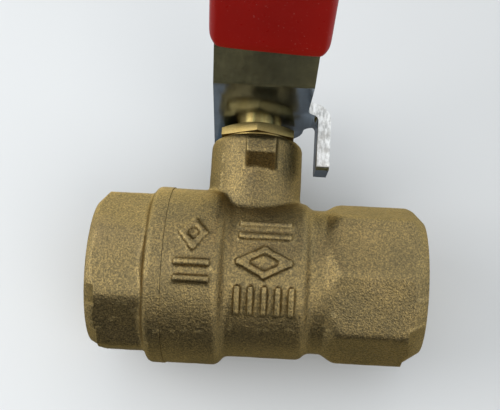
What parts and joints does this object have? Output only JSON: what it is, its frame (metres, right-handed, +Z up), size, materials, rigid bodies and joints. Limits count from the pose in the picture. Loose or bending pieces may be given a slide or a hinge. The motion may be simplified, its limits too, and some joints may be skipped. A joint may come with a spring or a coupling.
{
  "type": "ball valve",
  "caption": "Quarter-turn lever ball valve in cast brass with two female pipe-thread ends, a chrome ball, soft seats and a sleeved steel lever.",
  "frame": {"origin": "middle of the body's open end face, on the pipe axis", "axes": "+X along the pipe axis, out of the body's pipe end; +Z up the stem; the closed lever points along -Y"},
  "size_m": [0.056, 0.1143, 0.0533],
  "materials": {
    "cast_brass": "sand-cast, matt",
    "machined_brass": "turned, satin",
    "chromed_ball": "polished",
    "ptfe": "smooth, waxy",
    "seal_rubber": "smooth",
    "zinc_steel": "bright zinc plate",
    "red_vinyl": "soft, slightly glossy"
  },
  "bodies": {
    "valve_body": {"body": "cast_brass", "end_cap": "cast_brass", "body_seal": "ptfe", "cap_seat": "ptfe", "body_seat": "ptfe", "thrust_washer": "ptfe", "packing_ring_1": "ptfe", "packing_ring_2": "ptfe", "packing_ring_3": "ptfe", "gland_ring": "machined_brass", "packing_nut": "machined_brass"},
    "handle": {"lever": "zinc_steel", "grip": "red_vinyl", "stem": "machined_brass", "lower_o_ring": "seal_rubber", "upper_o_ring": "seal_rubber", "lock_washer": "zinc_steel", "handle_nut": "zinc_steel"},
    "ball": {"ball": "chromed_ball"}
  },
  "joints": [
    {"name": "lever_turn", "type": "hinge", "parent": "valve_body", "child": "handle", "pos_m": [-0.0294, 0, 0.0274], "axis": [0, 0, 1], "range_deg": [-3, 87]},
    {"name": "ball_turn", "type": "hinge", "parent": "valve_body", "child": "ball", "pos_m": [-0.0294, 0, 0], "axis": [0, 0, 1], "range_deg": [-3, 87]}
  ],
  "couplings": [
    {"joint": "ball_turn", "follows": "lever_turn", "ratio": 1}
  ]
}
